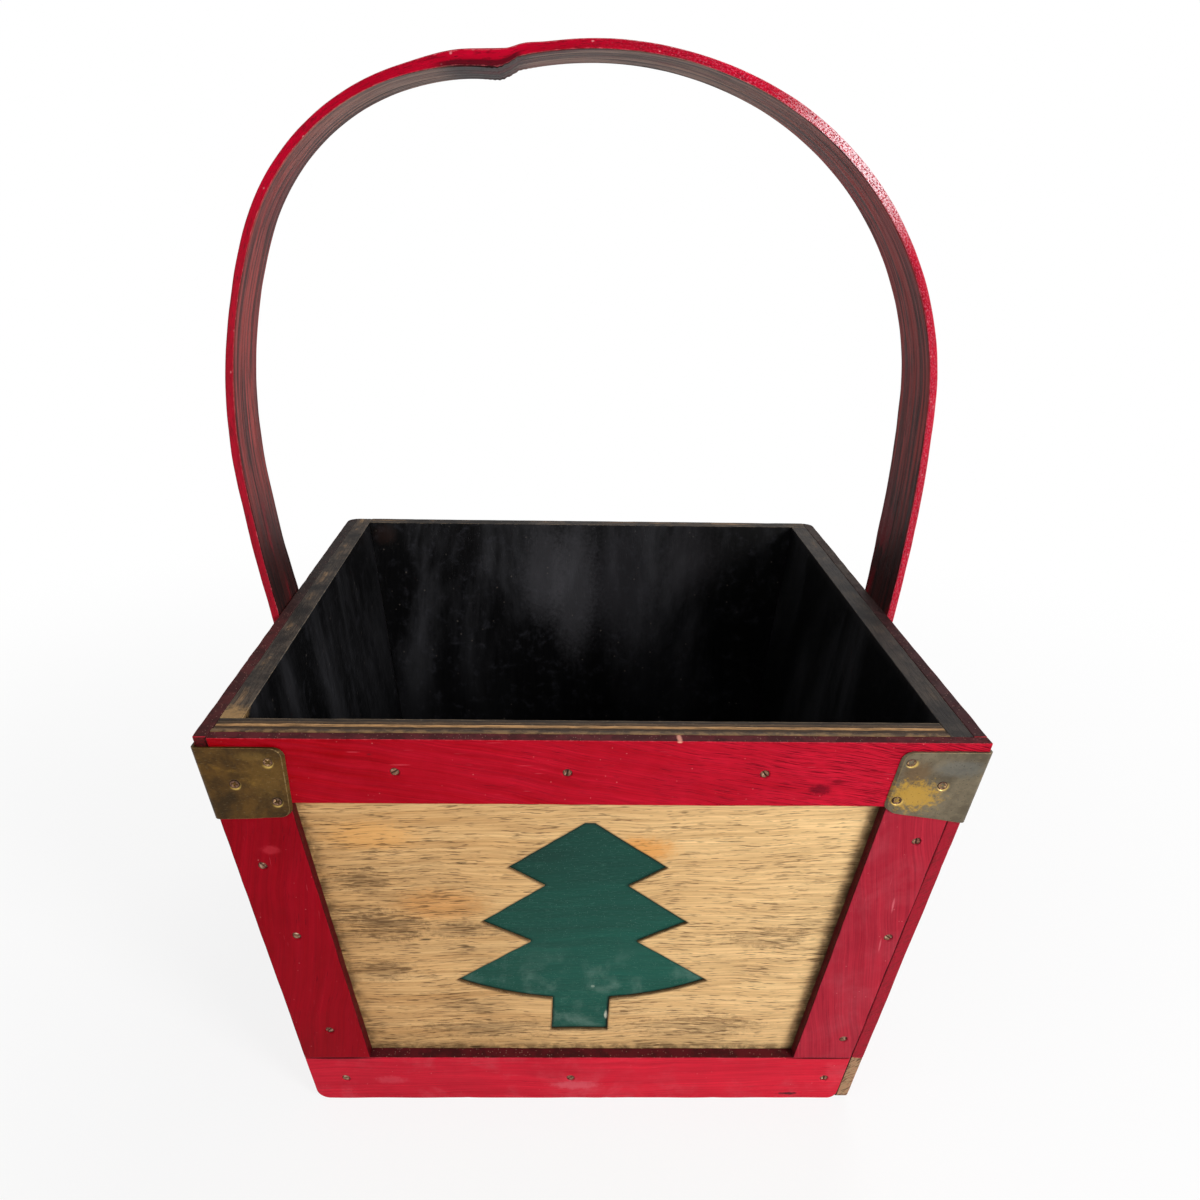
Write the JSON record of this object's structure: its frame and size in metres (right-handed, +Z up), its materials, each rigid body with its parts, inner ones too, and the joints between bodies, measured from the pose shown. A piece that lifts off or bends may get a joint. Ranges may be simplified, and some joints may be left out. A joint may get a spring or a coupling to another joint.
{
  "type": "wooden basket",
  "caption": "Square flared wooden box basket with a framed front, an inlaid tree, corner brackets and a tall fixed bentwood strap handle.",
  "frame": {"origin": "centre of the underside, on the surface the basket stands on", "axes": "+Z up, +X to the right and +Y to the back for somebody who looks at the wall with the tree; the handle spans along X"},
  "size_m": [0.3313, 0.3057, 0.4622],
  "materials": {
    "plywood_black": "semi-gloss black stain on plywood, bare brown layers at the edges",
    "plywood_natural": "natural plywood with level grain, grey weathered streaks, satin",
    "green_board": "green stained board with fine level grain, satin",
    "stained_strip": "crimson stained softwood with worn edges, satin",
    "stained_handle": "crimson stained bent strip, wine brown on its inner face, satin",
    "bracket_bronze": "dull bronze, tarnished",
    "bracket_worn": "grey olive tarnish scraped down to yellow metal",
    "screw_metal": "brown grey, tarnished"
  },
  "bodies": {
    "root": {"floor_panel": "plywood_black", "front_panel": "plywood_black", "right_panel": "plywood_black", "back_panel": "plywood_black", "left_panel": "plywood_black", "face_sheet": "plywood_natural", "tree": "green_board", "front_top_rail": "stained_strip", "front_bottom_rail": "stained_strip", "front_left_stile": "stained_strip", "front_right_stile": "stained_strip", "right_top_rail": "stained_strip", "right_bottom_rail": "stained_strip", "right_front_stile": "stained_strip", "right_back_stile": "stained_strip", "left_top_rail": "stained_strip", "left_bottom_rail": "stained_strip", "left_front_stile": "stained_strip", "left_back_stile": "stained_strip", "left_bracket": "bracket_bronze", "right_bracket": "bracket_worn", "bracket_screws": "screw_metal", "front_screws": "screw_metal", "side_screws": "screw_metal", "handle": "stained_handle", "handle_screws": "screw_metal"}
  },
  "joints": []
}
